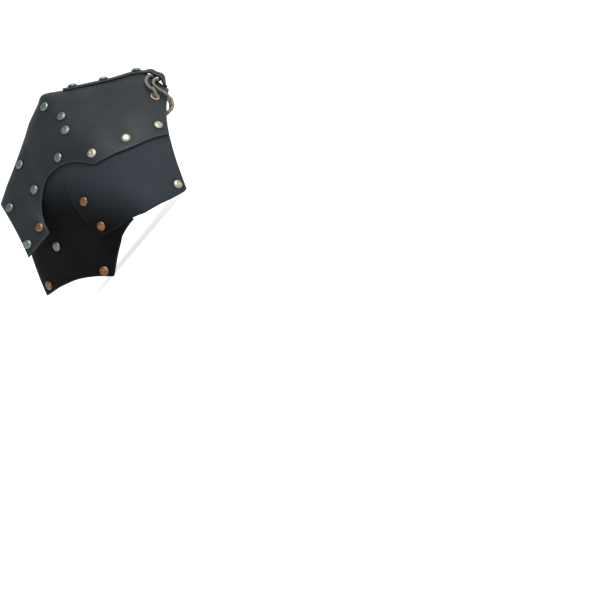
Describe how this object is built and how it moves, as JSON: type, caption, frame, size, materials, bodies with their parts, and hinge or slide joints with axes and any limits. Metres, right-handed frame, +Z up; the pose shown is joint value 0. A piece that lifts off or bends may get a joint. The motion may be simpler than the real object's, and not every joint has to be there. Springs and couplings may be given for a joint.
{
  "type": "leather pauldron",
  "caption": "Shoulder guard of two riveted leather plates: a ridged cap with a flared wing over a lower plate with a chest flap and an arm part, a strap along its ridge and a lace at the neck.",
  "frame": {"origin": "on the surface that it stands on, below the middle of its box", "axes": "+X towards the neck end, -Y towards the wearer's front, +Z up as it stands by itself on the lower plate's four corners"},
  "size_m": [0.2978, 0.2572, 0.2029],
  "materials": {
    "upper_leather": "black waxed leather with a soft sheen",
    "lower_leather": "black waxed leather, duller and darker",
    "strap_leather": "black strap leather",
    "lace_thong": "worn tan-grey leather thong",
    "brass": "aged antique brass"
  },
  "bodies": {
    "root": {"upper_plate": "upper_leather", "lower_plate": "lower_leather", "ridge_strap": "strap_leather", "lace": "lace_thong", "eyelet_front": "brass", "eyelet_back": "brass", "rivet_edge_1_front": "brass", "rivet_edge_2_front": "brass", "rivet_edge_3_front": "brass", "rivet_edge_4_front": "brass", "rivet_edge_5_front": "brass", "rivet_edge_6_front": "brass", "rivet_wing_1_front": "brass", "rivet_wing_2_front": "brass", "rivet_face_1_front": "brass", "rivet_face_2_front": "brass", "rivet_face_3_front": "brass", "rivet_face_4_front": "brass", "rivet_flap_front": "brass", "rivet_dart_1_front": "brass", "rivet_dart_2_front": "brass", "rivet_arm_1_front": "brass", "rivet_arm_2_front": "brass", "rivet_arm_3_front": "brass", "rivet_edge_1_back": "brass", "rivet_edge_2_back": "brass", "rivet_edge_3_back": "brass", "rivet_edge_4_back": "brass", "rivet_edge_5_back": "brass", "rivet_edge_6_back": "brass", "rivet_wing_1_back": "brass", "rivet_wing_2_back": "brass", "rivet_face_1_back": "brass", "rivet_face_2_back": "brass", "rivet_face_3_back": "brass", "rivet_face_4_back": "brass", "rivet_flap_back": "brass", "rivet_dart_1_back": "brass", "rivet_dart_2_back": "brass", "rivet_arm_1_back": "brass", "rivet_arm_2_back": "brass", "rivet_arm_3_back": "brass", "rivet_ridge_1": "brass", "rivet_ridge_2": "brass", "rivet_ridge_3": "brass"}
  },
  "joints": []
}
